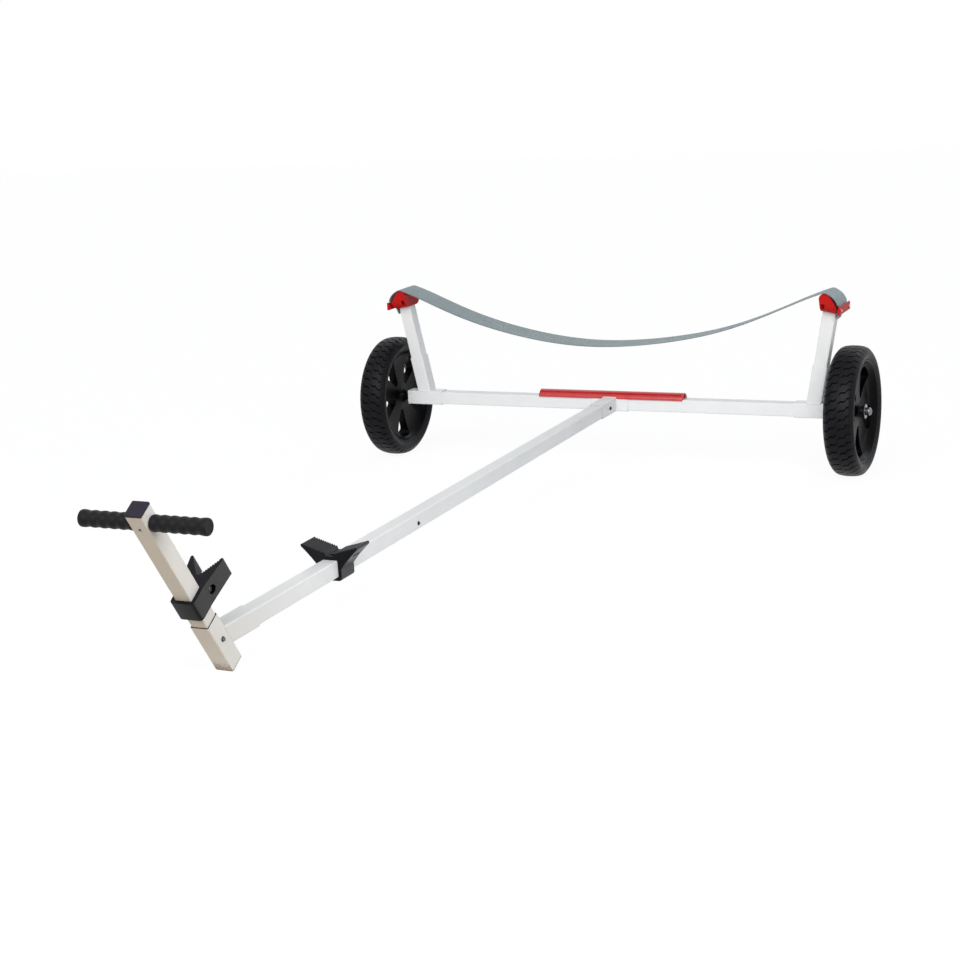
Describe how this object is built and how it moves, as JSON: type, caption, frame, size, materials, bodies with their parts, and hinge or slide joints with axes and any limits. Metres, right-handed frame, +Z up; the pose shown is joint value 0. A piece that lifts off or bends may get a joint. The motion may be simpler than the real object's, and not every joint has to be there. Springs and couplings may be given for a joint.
{
  "type": "dinghy launching trolley",
  "caption": "Two-wheeled hand trolley of square tube with a webbing hull sling, V chocks on the drawbar and post, and a T-shaped grip bar.",
  "frame": {"origin": "on the ground, at the middle of the overall box", "axes": "+X along the axle, -Y towards the hand grips, +Z up"},
  "size_m": [1.656, 2.7209, 0.5627],
  "materials": {
    "white_tube": "gloss white powder coat",
    "bare_aluminium": "mill finish",
    "black_moulding": "moulded, fine texture",
    "grip_rubber": "soft satin",
    "red_plastic": "glossy moulded",
    "webbing": "woven polyester webbing",
    "tyre": "matt foam tyre",
    "rim_plastic": "satin moulded",
    "steel": "stainless"
  },
  "bodies": {
    "chassis": {"axle_tube": "white_tube", "centre_tee": "white_tube", "rear_drawbar_tube": "white_tube", "front_drawbar_tube": "white_tube", "drawbar_joiner": "bare_aluminium", "front_elbow": "white_tube", "foot_plug": "black_moulding", "handle_post": "white_tube", "post_cap": "black_moulding", "handle_bar": "bare_aluminium", "bow_chock": "black_moulding", "keel_chock": "black_moulding", "axle_pad": "red_plastic", "sling": "webbing", "grips": "grip_rubber", "axle_plugs": "black_moulding", "stub_axles": "steel", "axle_bracket_right": "white_tube", "axle_bracket_left": "white_tube", "upright_right": "white_tube", "upright_left": "white_tube", "sling_cap_right": "red_plastic", "sling_cap_left": "red_plastic", "sling_clamp_right": "red_plastic", "sling_clamp_left": "red_plastic"},
    "wheel_right": {"tyre_right": "tyre", "rim_right": "rim_plastic"},
    "wheel_left": {"tyre_left": "tyre", "rim_left": "rim_plastic"}
  },
  "joints": [
    {"name": "wheel_right_turn", "type": "hinge", "parent": "chassis", "child": "wheel_right", "pos_m": [0.7705, 1.1644, 0.196], "axis": [1, 0, 0], "continuous": true},
    {"name": "wheel_left_turn", "type": "hinge", "parent": "chassis", "child": "wheel_left", "pos_m": [-0.7705, 1.1644, 0.196], "axis": [1, 0, 0], "continuous": true}
  ]
}
